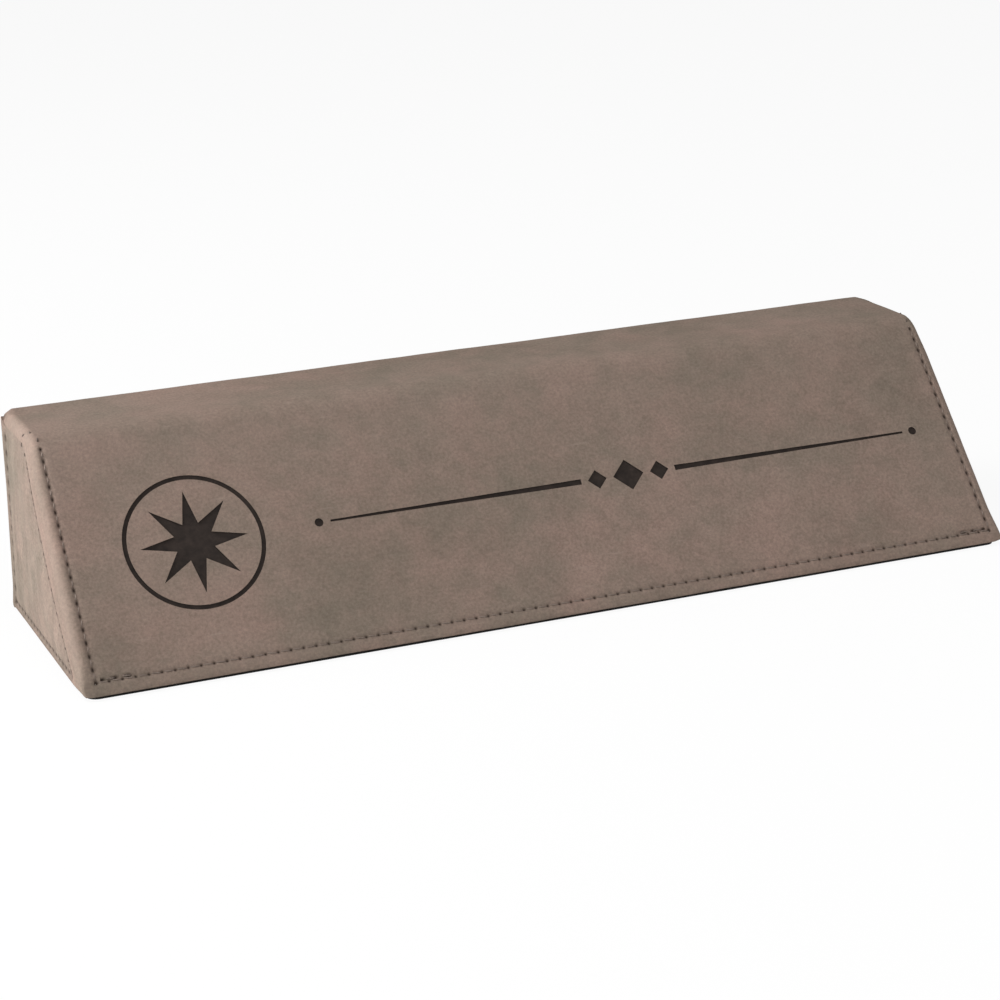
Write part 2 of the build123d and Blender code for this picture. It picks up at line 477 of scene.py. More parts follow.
def thread_material():
    """Matt twisted thread close to the leatherette's own colour."""
    material, tree, shader, place = start_material("waxed_thread")
    fibre = noise_at(tree, place, 5200, detail=2, roughness=0.6)
    shade = noise_at(tree, place, 300, detail=2)
    tone = summed(tree, [(fibre, 0.6), (shade, 0.4)])
    colour = ramp(tree, tone, [(0.3, (0.175, 0.136, 0.114)), (0.7, (0.285, 0.228, 0.194))])
    # Darkened thread in some rows, and painted shade where the thread dives into its holes
    colour = mixed(tree, colour, painted_shade_and_darkening_brown, attribute(tree, "painted_shade_and_darkening"))
    tree.links.new(colour, shader.inputs["Base Color"])
    tree.links.new(grey_ramp(tree, fibre, 0.3, 0.7, dark=0.6, light=0.85), shader.inputs["Roughness"])
    shader.inputs["Specular IOR Level"].default_value = 0.2
    add_bump(tree, shader, [(fibre, 0.4, 0.00008)])
    return material


def felt_material():
    """Black felt sheet under the base: matted fibres."""
    material, tree, shader, place = start_material("black_base_felt")
    matted = noise_at(tree, place, 900, detail=5, roughness=0.7, distortion=1.2)
    lint = noise_at(tree, place, 2600, detail=2)
    colour = ramp(tree, matted, [(0.3, (0.008, 0.007, 0.007)), (0.75, (0.026, 0.024, 0.023))])
    tree.links.new(colour, shader.inputs["Base Color"])
    tree.links.new(grey_ramp(tree, lint, 0.3, 0.7, dark=0.85, light=1.0), shader.inputs["Roughness"])
    shader.inputs["Specular IOR Level"].default_value = 0.15
    shader.inputs["Sheen Weight"].default_value = 0.25
    add_bump(tree, shader, [(lint, 0.5, 0.0002), (matted, 0.6, 0.0004)])
    return material


def greyboard_material():
    """Bookbinder's greyboard: pressed paper pulp with dark and pale flecks."""
    material, tree, shader, place = start_material("pressed_greyboard")
    pulp = noise_at(tree, place, 260, detail=5, roughness=0.65)
    flecks = noise_at(tree, place, 1900, detail=1)
    colour = ramp(tree, pulp, [(0.3, (0.235, 0.215, 0.185)), (0.7, (0.345, 0.320, 0.280))])
    colour = mixed(tree, colour, (0.10, 0.09, 0.08), grey_ramp(tree, flecks, 0.66, 0.74, light=0.6))
    tree.links.new(colour, shader.inputs["Base Color"])
    tree.links.new(grey_ramp(tree, pulp, 0.3, 0.7, dark=0.85, light=0.97), shader.inputs["Roughness"])
    add_bump(tree, shader, [(flecks, 0.2, 0.0001), (pulp, 0.3, 0.0002)])
    return material


leatherette = leatherette_material()
engraved = engraved_material()
thread = thread_material()
felt = felt_material()
greyboard = greyboard_material()


# Mesh helpers


def add_object(name, bm, materials):
    """A new object at the origin with the mesh in progress."""
    mesh = bpy.data.meshes.new(name)
    bm.to_mesh(mesh)
    bm.free()
    piece = bpy.data.objects.new(name, mesh)
    bpy.context.scene.collection.objects.link(piece)
    for material in materials:
        mesh.materials.append(material)
    return piece


def finish_piece(piece, node, sharp_angle):
    """Smooth shading with crisp cuts, and the piece's place in the frame."""
    piece.data.shade_smooth()
    piece.data.set_sharp_from_angle(angle=math.radians(sharp_angle))
    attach(piece, "root")
    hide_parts(node)


def carve(piece, cutter):
    """Cut one object out of another and drop the cutter."""
    cut = piece.modifiers.new("cut", "BOOLEAN")
    cut.operation = "DIFFERENCE"
    cut.solver = "EXACT"
    cut.material_mode = "TRANSFER"
    cut.object = cutter
    graph = bpy.context.evaluated_depsgraph_get()
    carved = bpy.data.meshes.new_from_object(piece.evaluated_get(graph))
    piece.modifiers.clear()
    whole = piece.data
    name = whole.name
    piece.data = carved
    bpy.data.meshes.remove(whole)
    carved.name = name
    bpy.data.objects.remove(cutter)


def flat_face(bm, corners):
    """One face through a few corners."""
    return bmesh.ops.contextual_create(bm, geom=[bm.verts.new(corner) for corner in corners])["faces"][0]


def pull(bm, faces, move):
    """Extrude faces along a move and give the faces at the far end."""
    pulled = bmesh.ops.extrude_face_region(bm, geom=list(faces))["geom"]
    moved = [item for item in pulled if isinstance(item, bmesh.types.BMVert)]
    bmesh.ops.translate(bm, verts=moved, vec=move)
    return [item for item in pulled if isinstance(item, bmesh.types.BMFace)]


def nearest_vert(bm, place):
    """The vertex closest to a place."""
    return min(bm.verts, key=lambda vert: (vert.co - place).length)


def round_off(bm, geom, offset, steps, affect):
    """Round corners or edges off and give the new vertices."""
    return bmesh.ops.bevel(
        bm, geom=geom, offset=offset, segments=steps, profile=0.5, affect=affect, material=-1
    )["verts"]


def divide_edge(bm, edge, step):
    """Cut an edge into even stretches of about a step."""
    cuts = round(edge.calc_length() / step) - 1
    if cuts > 0:
        bmesh.ops.subdivide_edges(bm, edges=[edge], cuts=cuts)


def slices(bm, faces, start, direction, spacing, count):
    """Cut faces with evenly spaced planes and give the pieces."""
    for step in range(count):
        geom = set(faces)
        for face in faces:
            geom.update(face.edges)
            geom.update(face.verts)
        place = start + direction * spacing * (step + 1)
        cut = bmesh.ops.bisect_plane(
            bm, geom=list(geom), dist=cut_slack, plane_co=place, plane_no=direction
        )
        faces = [item for item in cut["geom"] if isinstance(item, bmesh.types.BMFace)]
    return faces


# Main cover


def section_face(bm, x):
    """Cross-section of the straight wedge at x, rounded at its corners and divided along its edges."""
    cell = side_pitch / 2 / half_stitch_cells
    strip_low = row_low - strip_cells_below * cell
    strip_high = row_low + strip_cells_above * cell
    corners = [
        on_slope(x, 0),
        Vector((x, rear_y, base_z)),
        Vector((x, rear_y, top_z)),
        on_slope(x, slope_length),
        on_slope(x, strip_high),
        on_slope(x, strip_low),
    ]
    flat_face(bm, corners)
    rounds = [
        (hem_radius / math.tan(slope / 2), toe_steps),
        (hem_radius, rear_base_steps),
        (rear_radius, rear_top_steps),
        (crest_run, crest_steps),
    ]
    for corner, (run, steps) in zip(corners, rounds):
        round_off(bm, [nearest_vert(bm, corner)], run, steps, "VERTICES")
    for edge in list(bm.edges):
        middle = (edge.verts[0].co + edge.verts[1].co) / 2
        step = plain_cell
        if on_front(middle):
            step = cell if strip_low < slope_rise(middle) < strip_high else side_pitch / 2
        divide_edge(bm, edge, step)
    return list(bm.faces)


def wedge_columns(bm, faces):
    """Draw the section out along the wedge in columns that keep step with the stitches."""
    left_start = bottom_pitch + row_margins_low[-1]
    right_start = bottom_pitch + row_margins_low[1]
    zones = [
        (rim_reach, rim_steps),
        (row_strip, row_strip_columns),
        (left_start - rim_reach - row_strip, corner_columns),
        (2 * half_length - left_start - right_start, 2 * (bottom_count - 2)),
        (right_start - rim_reach - row_strip, corner_columns),
        (row_strip, row_strip_columns),
        (rim_reach, rim_steps),
    ]
    for width, columns in zones:
        before = set(bm.edges)
        faces = pull(bm, faces, Vector((width, 0, 0)))
        long_edges = []
        for edge in bm.edges:
            if edge not in before and abs(edge.verts[0].co.x - edge.verts[1].co.x) > width / 2:
                long_edges.append(edge)
        bmesh.ops.subdivide_edges(bm, edges=long_edges, cuts=columns - 1, use_grid_fill=True)
    strip_edges = []
    for edge in bm.edges:
        first, second = (vert.co for vert in edge.verts)
        middle = (first + second) / 2
        if not on_front(middle):
            continue
        rise = slope_rise(middle)
        run = abs(first.x - second.x)
        beside = half_length - abs(middle.x)
        along_bottom = run > point_slack and row_low - strip_below < rise < row_low + strip_above
        along_side = run < point_slack and rim_reach < beside < rim_reach + row_strip
        if along_bottom and beside > rim_reach + row_strip:
            strip_edges.append(edge)
        elif along_side and rise > row_low + strip_above:
            strip_edges.append(edge)
    bmesh.ops.subdivide_edges(bm, edges=strip_edges, cuts=strip_cuts, use_grid_fill=True)
    partitions = []
    for face in bm.faces:
        places = [vert.co.x for vert in face.verts]
        if max(places) - min(places) < point_slack and abs(places[0]) < half_length - point_slack:
            partitions.append(face)
    bmesh.ops.delete(bm, geom=partitions, context="FACES_ONLY")


def row_x(side, rise):
    """Where a side row lies at a rise: the left one slants a little."""
    margin = row_margins_low[side] + (row_margins_high[side] - row_margins_low[side]) * rise / slope_length
    return side * (half_length - margin)


def needle_gap(run, pitch):
    """Distance along a row to its nearest needle hole."""
    steps = run / pitch
    return (steps - round(steps)) * pitch


def row_offsets(x, rise):
    """Rows near a place on the slope: distance across, distance to a needle hole and the hole's length."""
    found = []
    if row_low - row_overrun < rise < row_high + row_overrun:
        across = min(abs(x - row_x(side, rise)) for side in (-1, 1))
        found.append((across, needle_gap(rise - row_low, side_pitch), side_needle_length))
    if left_row_x - row_overrun < x < right_row_x + row_overrun:
        found.append((abs(rise - row_low), needle_gap(x - left_row_x, bottom_pitch), bottom_needle_length))
        end_gap = min(x - left_row_x, right_row_x - x)
        if tack_start - row_overrun < end_gap < tack_start + tack_length + row_overrun:
            along = needle_gap(end_gap - tack_start, bottom_pitch)
            found.append((abs(rise - row_low - tack_offset), along, side_needle_length))
    return found


def row_relief(x, rise):
    """Depth of the sewn rows on the slope, and the painted shade of their needle holes and grooves."""
    relief = 0.0
    painted_shade_and_darkening = 0.0
    for across, along, needle_length in row_offsets(x, rise):
        if across > row_reach:
            continue
        needle = hump(across, needle_width) * hump(along, needle_length)
        relief -= groove_depth * hump(across, groove_width) + needle_depth * needle
        relief += shoulder_height * hump(across - shoulder_offset, groove_width)
        painted_shade_and_darkening = max(painted_shade_and_darkening, needle, painted_groove_shade * hump(across, groove_width))
    return relief, min(1.0, painted_shade_and_darkening)


def roll_out(point):
    """How far the rolled rim beside an end panel stands proud of the end, at a point in the end's plane."""
    band = arc_radius - (Vector((0, point.y, point.z)) - arc_centre).length
    low_lift = smooth_share(point.z - base_z, roll_start_low, roll_fade)
    high_lift = smooth_share(top_z - point.z, roll_start_high, roll_start_high + roll_fade)
    return roll_height * (low_lift * high_lift) * smooth_share(band, 0, roll_run)


def corner_draw(end_gap, radius):
    """How far a corner is drawn in close to an end, for a rounded corner of the radius."""
    inside = max(0.0, radius - end_gap)
    return radius - math.sqrt(max(0.0, radius ** 2 - inside ** 2))


def shape_cover(bm):
    """Round the rims and corners, press in the rows, paint shade into holes, grooves and tucks, and give
    the leatherette its rim wear, a painted highlight along the crest and its slight unevenness.
    """
    painted_shade_and_darkening = bm.verts.layers.float.new("painted_shade_and_darkening")
    wear_and_painted_highlight = bm.verts.layers.float.new("wear_and_painted_highlight")
    bm.normal_update()
    rear_top = Vector((0, rear_y, top_z))
    for vert in bm.verts:
        outward = Vector((0, vert.normal.y, vert.normal.z)).normalized()
        point = vert.co.copy()
        side = 1 if point.x > 0 else -1
        rise = slope_rise(point)
        rear_gap = (Vector((0, point.y, point.z)) - rear_top).length
        lift_share = smooth_share(point.z - base_z, rim_start, rim_start + rim_growth)
        rear_share = smooth_share(rear_y - point.y, rear_radius, rear_radius + rim_growth)
        share = lift_share * rear_share
        reach = edge_reach + (rim_reach - edge_reach) * share
        fall = edge_fall + (rim_fall - edge_fall) * share
        end_gap = half_length - abs(point.x)
        turn = max(0.0, 1 - end_gap / rim_reach) * math.pi / 2
        relief, mark = row_relief(point.x, rise) if on_front(point) else (0.0, 0.0)
        # Painted shade in the tucks near an end's rear corners
        if end_gap < tuck_reach:
            mark = max(mark, tuck_shade(point))
        if turn > 0:
            point.x = side * (half_length - reach * (1 - math.sin(turn)))
            point -= outward * fall * (1 - math.cos(turn))
        facing = (outward * math.cos(turn) + Vector((side, 0, 0)) * math.sin(turn)).normalized()
        true_gap = half_length - abs(point.x)
        front_fade = 1 - smooth_share(rise, 0, corner_fade)
        rear_fade = 1 - smooth_share(rear_gap, 0, corner_fade)
        point += up_slope * corner_draw(true_gap, front_corner_round) * front_fade
        point += rear_draw * corner_draw(true_gap, rear_corner_round) * rear_fade
        wave = sum(height * noise.noise(point * rate) for height, rate in surface_waves)
        vert.co = point + facing * (relief + wave * math.cos(turn))
        # Painted shade of the needle holes, grooves and tucks
        vert[painted_shade_and_darkening] = mark
        # Painted highlight along the crest, and real wear on the rolled rims
        patches = crest_highlight_shares["patchy"] * noise.noise(point * crest_patch_rate)
        crest_share = hump(rise - slope_length, crest_highlight_width)
        crest_highlight = crest_painted_highlight * crest_share * (crest_highlight_shares["even"] + patches)
        rubbed = rim_wear * hump(turn - math.pi / 4, rim_wear_spread) * share if turn > 0 else 0.0
        vert[wear_and_painted_highlight] = max(crest_highlight, rubbed)


def roll_rims(bm):
    """Divide the flat ends beside the panels and swell the rolled rims there, then lean the ends in."""
    for side in (-1, 1):
        flat = []
        for face in bm.faces:
            if face.normal.x * side > end_facing and len(face.verts) > end_corners:
                flat.append(face)
        flat = slices(bm, flat, toe - slope_normal * rim_fall, -slope_normal, roll_cell, roll_cells)
        slices(bm, flat, toe, up_slope, end_cell, end_cells)
    for vert in bm.verts:
        side = 1 if vert.co.x > 0 else -1
        share = smooth_share(abs(vert.co.x), half_length - rim_reach, half_length)
        vert.co.x += side * roll_out(vert.co) * share
        vert.co = lean_in(vert.co)


def hollow_body():
    """Space that the boards fill inside the cover."""
    bm = bmesh.new()
    inset = cover_thickness
    x = -half_length + inset
    shift = toe_y + inset / math.sin(slope)
    corners = [
        Vector((x, shift + inset / math.tan(slope), base_z + inset)),
        Vector((x, rear_y - inset, base_z + inset)),
        Vector((x, rear_y - inset, top_z - inset)),
        Vector((x, shift + (wedge_height - inset) / math.tan(slope), top_z - inset)),
    ]
    face = flat_face(bm, corners)
    pull(bm, [face], Vector((2 * (half_length - inset), 0, 0)))
    bmesh.ops.recalc_face_normals(bm, faces=bm.faces)
    crest = corners[3]
    crest_edges = []
    for edge in bm.edges:
        ends = [vert.co for vert in edge.verts]
        if all(max(abs(end.z - crest.z), abs(end.y - crest.y)) < point_slack for end in ends):
            crest_edges.append(edge)
    crest_offset = (crest_radius - inset) * math.tan(slope / 2)
    round_off(bm, crest_edges, crest_offset, hollow_crest_steps, "EDGES")
    rims = [edge for edge in bm.edges if abs(edge.verts[0].co.x - edge.verts[1].co.x) < point_slack]
    round_off(bm, rims, hollow_round, hollow_round_steps, "EDGES")
    for vert in bm.verts:
        vert.co = lean_in(vert.co)
    return add_object("hollow_body", bm, [leatherette])


def base_window():
    """Opening in the cover's underside, inside its turned-in hem."""
    bm = bmesh.new()
    low = Vector((-half_length + hem_width, cover_low.y + hem_width, base_z - overrun))
    high = Vector((half_length - hem_width, rear_y - hem_width, base_z + cover_thickness + overrun))
    size = high - low
    bmesh.ops.create_cube(bm, size=1.0)
    bmesh.ops.scale(bm, vec=size, verts=bm.verts)
    bmesh.ops.translate(bm, vec=(low + high) / 2, verts=bm.verts)
    return add_object("base_window", bm, [leatherette])


def slope_prism(bm, outline):
    """A flat outline on the slope, from its engraved floor to above the surface."""
    corners = [on_slope(x, rise) - slope_normal * engrave_depth for x, rise in outline]
    pull(bm, [flat_face(bm, corners)], slope_normal * (engrave_depth + overrun))


def ring_on_slope(bm, centre, radius, line):
    """A thin engraved ring, spun round the slope's normal."""
    middle = on_slope(*centre) - slope_normal * engrave_depth
    height = slope_normal * (engrave_depth + overrun)
    outer = middle + up_slope * radius
    inner = middle + up_slope * (radius - line)
    face = flat_face(bm, [outer, inner, inner + height, outer + height])
    edges = list(face.edges)
    bmesh.ops.delete(bm, geom=[face], context="FACES_ONLY")
    bmesh.ops.spin(
        bm,
        geom=edges,
        cent=middle,
        axis=slope_normal,
        angle=math.tau,
        steps=ring_steps,
        use_merge=True,
        use_duplicate=False,
    )


def lozenge(centre, side):
    """Corners of a square standing on its point."""
    x, rise = centre
    reach = side / math.sqrt(2)
    return [(x - reach, rise), (x, rise - reach), (x + reach, rise), (x, rise + reach)]


def circle_outline(centre, radius, steps, waist=None):
    """Corners round a circle; with a waist, every second one is drawn in."""
    x, rise = centre
    corners = []
    for index in range(steps):
        angle = math.tau * index / steps
        reach = waist if waist and index % 2 else radius
        corners.append((x - reach * math.sin(angle), rise + reach * math.cos(angle)))
    return corners


def ornament():
    """Cutter for a star emblem in a ring, and a divider of lozenges, tapered rules and dots."""
    bm = bmesh.new()
    emblem_x = -half_length + emblem_inset
    emblem = (emblem_x, ornament_rise)
    ring_on_slope(bm, emblem, emblem_radius, emblem_line)
    slope_prism(bm, circle_outline(emblem, star_radius, 2 * star_points, star_waist))
    divider_left = emblem_x + emblem_radius + divider_gap
    divider_right = half_length - divider_gap
    divider_x = (divider_left + divider_right) / 2
    side_x_offset = (lozenge_side + side_lozenge_side) / math.sqrt(2) + lozenge_gap
    rule_start = side_x_offset + side_lozenge_side / math.sqrt(2) + lozenge_gap
    dot_offset = (divider_right - divider_left) / 2 - dot_radius
    rule_end = dot_offset - dot_radius - lozenge_gap
    slope_prism(bm, lozenge((divider_x, ornament_rise), lozenge_side))
    for side in (-1, 1):
        slope_prism(bm, lozenge((divider_x + side * side_x_offset, ornament_rise), side_lozenge_side))
        near = divider_x + side * rule_start
        far = divider_x + side * rule_end
        rule = [
            (near, ornament_rise + rule_width / 2),
            (far, ornament_rise + rule_tip_width / 2),
            (far, ornament_rise - rule_tip_width / 2),
            (near, ornament_rise - rule_width / 2),
        ]
        slope_prism(bm, rule)
        dot_centre = (divider_x + side * dot_offset, ornament_rise)
        slope_prism(bm, circle_outline(dot_centre, dot_radius, dot_steps))
    for vert in bm.verts:
        vert.co = lean_in(vert.co)
    bmesh.ops.recalc_face_normals(bm, faces=bm.faces)
    return add_object("ornament_cutter", bm, [engraved])


# End panels: outline in the end's own plane, y to the rear and z up


def panel_outline(bm, x, grow):
    """Flat face of an end panel, grown by a gap: straight at base, rear and top, bowed along the rim."""
    shift = Vector((x, 0, 0))
    half_turns = [(slope - bow_turn) / 2, math.pi / 4, math.pi / 4, (math.pi - slope - bow_turn) / 2]
    corners = [
        panel_foot + Vector((0, -grow / math.tan(slope / 2), -grow)),
        Vector((0, panel_rear + grow, panel_low - grow)),
        Vector((0, panel_rear + grow, panel_high + grow)),
        panel_head + Vector((0, -grow * math.tan(slope / 2), grow)),
    ]
    flat_face(bm, [corner + shift for corner in corners])
    rim = min(bm.edges, key=lambda edge: ((edge.verts[0].co + edge.verts[1].co) / 2).y)
    cut = bmesh.ops.subdivide_edges(bm, edges=[rim], cuts=bow_cuts)
    centre = arc_centre + shift
    for item in cut["geom_inner"]:
        if isinstance(item, bmesh.types.BMVert):
            item.co = centre + (item.co - centre).normalized() * (arc_radius - grow)
    for corner, half_turn in zip(corners, half_turns):
        place = corner + shift
        run = panel_corner / math.tan(half_turn)
        rounded = round_off(bm, [nearest_vert(bm, place)], run, panel_corner_steps, "VERTICES")
        inward = sum((vert.co - place for vert in rounded), Vector()).normalized()
        centre = place + inward * panel_corner / math.sin(half_turn)
        for vert in rounded:
            vert.co = centre + (vert.co - centre).normalized() * panel_corner
    for edge in list(bm.edges):
        divide_edge(bm, edge, panel_cell)
    return list(bm.faces)


def draw_ears(point):
    """Draw an end panel's rear corners out into small pointed ears."""
    flat = Vector((0, point.y, point.z))
    for end, tip in panel_tips.items():
        point = point + ear_pulls[end] * hump((flat - tip).length, ear_width)
    return point


def end_rebate(side):
    """Cutter for the shallow bed of an end panel."""
    bm = bmesh.new()
    faces = panel_outline(bm, side * (half_length - panel_depth), seam_gap)
    pull(bm, faces, Vector((side * (panel_depth + overrun), 0, 0)))
    for vert in bm.verts:
        vert.co = lean_in(draw_ears(vert.co))
    bmesh.ops.recalc_face_normals(bm, faces=bm.faces)
    return add_object("end_rebate", bm, [leatherette])


def end_row_paths():
    """Rows on an end panel as (start, end, arc centre) in the end's plane; straight rows have no centre."""
    low = panel_low + end_row_margins["base"]
    rear_high = panel_high - end_row_tops["rear"]
    front_high = panel_high - end_row_tops["front"]
    radius = arc_radius + end_row_margins["front"]
    foot_turn = math.asin((low - arc_centre.z) / radius)
    head_turn = math.asin((front_high - arc_centre.z) / radius)
    foot = arc_centre + Vector((0, math.cos(foot_turn), math.sin(foot_turn))) * radius
    head = arc_centre + Vector((0, math.cos(head_turn), math.sin(head_turn))) * radius
    return {
        "base": (foot, Vector((0, rear_strip, low)), None),
        "rear": (Vector((0, rear_strip, low)), Vector((0, rear_strip, rear_high)), None),
        "front": (foot, head, arc_centre),
    }


def along_row(row, share):
    """Point at a share of a row's length."""
    start, end, centre = row
    point = start.lerp(end, share)
    if centre is not None:
        point = centre + (point - centre).normalized() * (start - centre).length
    return point


def across_row(row, point):
    """Share along a row and distance across it, for a point in the end's plane."""
    start, end, centre = row
    chord = end - start
    share = (point - start).dot(chord) / chord.length_squared
    clamped = min(1, max(0, share))
    return share, (point - along_row(row, clamped)).length


def stitch_count(name):
    """Stitches along one of the rows on an end panel."""
    start, end, _ = end_rows[name]
    return round((end - start).length / end_row_pitches[name])


end_rows = end_row_paths()
end_counts = {name: stitch_count(name) for name in end_rows}


def strip_shade(flat):
    """Painted shade on an end panel's strips outside its rows, darkest at the two rear tips."""
    if flat.z >= panel_low + end_row_margins["base"] and flat.y <= rear_strip:
        return 0.0
    tip_gap = min((flat - tip).length for tip in panel_tips.values())
    return max(painted_strip_shade, painted_tuck_shade * hump(tip_gap, tip_width))


def swell_panel(point, flat, side):
    """Lift an end panel's rear strip near its ends, and swell and crease the middle of the panel."""
    rim_gap = (flat - arc_centre).length - arc_radius
    margin = min(rim_gap, panel_rear - flat.y, flat.z - panel_low, panel_high - flat.z)
    cushion = smooth_share(margin, panel_hold, 3 * panel_hold)
    height = flat.z - base_z
    high_lift = smooth_share(height, strip_lift_share * wedge_height, wedge_height)
    lift = strip_lift * max(high_lift, hump(height, strip_lift_low))
    point.x += side * lift * smooth_share(flat.y, rear_strip, rear_strip + panel_cell)
    rear_rate, up_rate = crease_rates
    creases = panel_crease * noise.noise(Vector((side, flat.y * rear_rate, flat.z * up_rate)))
    point.x += side * cushion * (panel_swell + creases)


def press_rows(point, flat, side):
    """Press an end panel's rows in and give the painted shade of their needle holes and grooves."""
    mark = 0.0
    for name, row in end_rows.items():
        share, across = across_row(row, flat)
        if abs(share - 0.5) >= 0.5 + end_row_overrun_share or across >= end_row_reach:
            continue
        steps = share * end_counts[name]
        along = (steps - round(steps)) * end_row_pitches[name]
        groove = hump(across, end_needle_widths[name])
        needle = groove * hump(along, end_needle_length)
        point.x -= side * (groove_depth * groove + end_needle_depth * needle)
        start_dark, end_dark = end_row_darkness[name]
        darkness = start_dark + (end_dark - start_dark) * share
        # Painted shade in the holes and along the groove
        mark = max(mark, darkness * needle, end_painted_groove_shade * darkness * groove)
    return mark


def end_panel(name, node, side):
    """One end panel with softened edges and pressed-in rows."""
    bm = bmesh.new()
    faces = panel_outline(bm, side * (half_length - panel_depth), 0.0)
    faces = pull(bm, faces, Vector((side * panel_depth, 0, 0)))
    bmesh.ops.recalc_face_normals(bm, faces=bm.faces)
    for vert in faces[0].verts:
        vert.co.x -= side * panel_edge_drop
    rings = [(panel_edge, panel_edge_drop)] + [(width, 0) for width in panel_rings]
    for width, depth in rings:
        bmesh.ops.inset_region(bm, faces=faces, thickness=width, depth=depth, use_even_offset=True)
    columns = int((panel_rear - panel_foot.y) / panel_cell)
    levels = int((panel_high - panel_low) / panel_cell)
    faces = slices(bm, faces, panel_foot, Vector((0, 1, 0)), panel_cell, columns)
    slices(bm, faces, panel_foot, Vector((0, 0, 1)), panel_cell, levels)
    painted_shade_and_darkening = bm.verts.layers.float.new("painted_shade_and_darkening")
    streak = bm.verts.layers.float.new("streak")
    for vert in bm.verts:
        point = vert.co.copy()
        if abs(point.x) > half_length - panel_depth / 2:
            flat = Vector((0, point.y, point.z))
            swell_panel(point, flat, side)
            # Painted shade on the strips, at the rear tips and in the rows
            vert[painted_shade_and_darkening] = max(strip_shade(flat), press_rows(point, flat, side))
            vert[streak] = 1.0
        vert.co = lean_in(draw_ears(point))
    bmesh.ops.recalc_face_normals(bm, faces=bm.faces)
    finish_piece(add_object(name, bm, [leatherette]), node, panel_sharp_angle)


# Cover and end panels, made


def main_cover():
    """The one sheet of leatherette wrapped round slope, top, back and base and turned onto the ends."""
    bm = bmesh.new()
    faces = section_face(bm, -half_length)
    wedge_columns(bm, faces)
    bmesh.ops.recalc_face_normals(bm, faces=bm.faces)
    shape_cover(bm)
    bm.normal_update()
    roll_rims(bm)
    bmesh.ops.recalc_face_normals(bm, faces=bm.faces)
    piece = add_object("wrapped_cover", bm, [leatherette, engraved])
    carve(piece, hollow_body())
    carve(piece, base_window())
    carve(piece, ornament())
    for side in (-1, 1):
        carve(piece, end_rebate(side))
    finish_piece(piece, "main_cover", cover_sharp_angle)


main_cover()
end_panel("left_end_panel", "left_end_cover", -1)
end_panel("right_end_panel", "right_end_cover", 1)


# Stitches


def stitch_mesh(kind, pitch, width=thread_width):
    """One two-ply stitch along X, standing up at its middle and diving into the holes at its ends."""
    length = pitch * stitch_length_shares[kind]
    dive = stitch_dives[kind]
    darkening = stitch_darkenings[kind]
    strand = width * strand_share
    bm = bmesh.new()
    for turn in (0, math.pi):
        before = set(bm.verts)
        ring = bmesh.ops.create_circle(bm, segments=thread_sides, radius=strand, cap_ends=True)
        bmesh.ops.rotate(bm, verts=ring["verts"], matrix=Matrix.Rotation(math.pi / 2, 3, "Y"))
        offset = Matrix.Rotation(turn, 3, "X") @ Vector((0, strand * ply_offset_share, 0))
        bmesh.ops.translate(bm, verts=ring["verts"], vec=offset + Vector((-length / 2, 0, 0)))
        start = [face for face in bm.faces if all(vert not in before for vert in face.verts)]
        bmesh.ops.spin(
            bm,
            geom=start,
            cent=(0, 0, 0),
            axis=(1, 0, 0),
            dvec=(length / thread_steps, 0, 0),
            angle=math.pi,
            steps=thread_steps,
            use_merge=False,
            use_duplicate=False,
        )
    painted_shade_and_darkening = bm.verts.layers.float.new("painted_shade_and_darkening")
    for vert in bm.verts:
        share = abs(vert.co.x) / (length / 2)
        vert.co.z -= width * dive_share * share ** dive
        vert.co.y *= 1 - taper_share * share ** 2
        # Darkened thread by kind, with painted shade towards the ends that dive into the holes
        vert[painted_shade_and_darkening] = darkening + (painted_hole_shade - darkening) * share ** dive
    bmesh.ops.recalc_face_normals(bm, faces=bm.faces)
    mesh = bpy.data.meshes.new("stitch")
    bm.to_mesh(mesh)
    bm.free()
    return mesh


def lay_stitches(name, node, rows):
    """Stitches joined into one piece; rows are (stitch, places), a place is (middle, heading, outward)."""
    bm = bmesh.new()
    for stitch, places in rows:
        for middle, heading, outward in places:
            before = len(bm.verts)
            bm.from_mesh(stitch)
            bm.verts.ensure_lookup_table()
            across = outward.cross(heading).normalized()
            turn = Matrix((heading.normalized(), across, outward.normalized())).transposed().to_4x4()
            place = Matrix.Translation(middle) @ turn
            bmesh.ops.transform(bm, matrix=place, verts=bm.verts[before:])
    for vert in bm.verts:
        vert.co = lean_in(vert.co)
    finish_piece(add_object(name, bm, [thread]), node, thread_sharp_angle)


def slope_row(start, end, count):
    """Stitch places along a straight row on the slope."""
    first = on_slope(*start)
    last = on_slope(*end)
    heading = (last - first).normalized()
    places = []
    for index in range(count):
        middle = first.lerp(last, (index + 0.5) / count) - slope_normal * thread_sink
        places.append((middle, heading, slope_normal))
    return places


def shoulder_point(run, across):
    """Point and outward direction on the rounded shoulder and rolled rim of the right end."""
    flat_run = slope_length - crest_run
    arc_turn = min(slope, max(0.0, (run - flat_run) / crest_radius))
    outward = Vector((0, -math.sin(slope - arc_turn), math.cos(slope - arc_turn)))
    centre = on_slope(0, flat_run) - slope_normal * crest_radius
    if run < flat_run:
        point = on_slope(0, run)
    else:
        point = centre + outward * crest_radius
        point.y += max(0.0, run - flat_run - slope * crest_radius)
    rim_length = math.pi / 2 * math.sqrt((rim_reach ** 2 + rim_fall ** 2) / 2)
    turn = min(1.0, max(0.0, across / rim_length)) * math.pi / 2
    end_run = max(0.0, across - rim_length)
    point.x = half_length - rim_reach * (1 - math.sin(turn)) + min(0.0, across)
    point -= outward * (rim_fall * (1 - math.cos(turn)) + end_run)
    facing = Vector((1, 0, 0)) * math.sin(turn) / rim_reach + outward * math.cos(turn) / rim_fall
    return point, facing.normalized()


